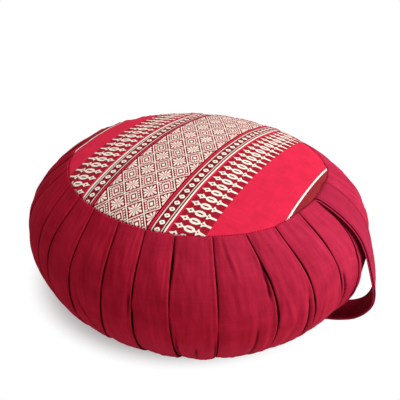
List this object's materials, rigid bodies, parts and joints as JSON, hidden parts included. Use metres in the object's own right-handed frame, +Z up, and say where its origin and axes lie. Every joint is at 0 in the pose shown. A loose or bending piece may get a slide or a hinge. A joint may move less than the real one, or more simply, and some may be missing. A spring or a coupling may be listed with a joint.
{
  "type": "zafu meditation cushion",
  "caption": "Round stuffed meditation cushion with a knife-pleated side wall, a crowned patterned top panel, a flat base and a side carrying strap.",
  "frame": {"origin": "centre of the base panel's flat underside, on the surface that the cushion rests on", "axes": "+Z up, away from the base; +X from the centre towards the carrying strap"},
  "size_m": [0.383, 0.3697, 0.1714],
  "materials": {
    "wall_cotton": "plain-woven crimson cotton, matt",
    "woven_panel": "dark red, bright red and cream patterned weave, matt",
    "base_cotton": "plain-woven crimson cotton, matt",
    "strap_cotton": "doubled crimson cotton with stitched edges, matt"
  },
  "bodies": {
    "root": {"cushion_body": "wall_cotton", "top_panel": "woven_panel", "base_panel": "base_cotton", "handle": "strap_cotton"}
  },
  "joints": []
}
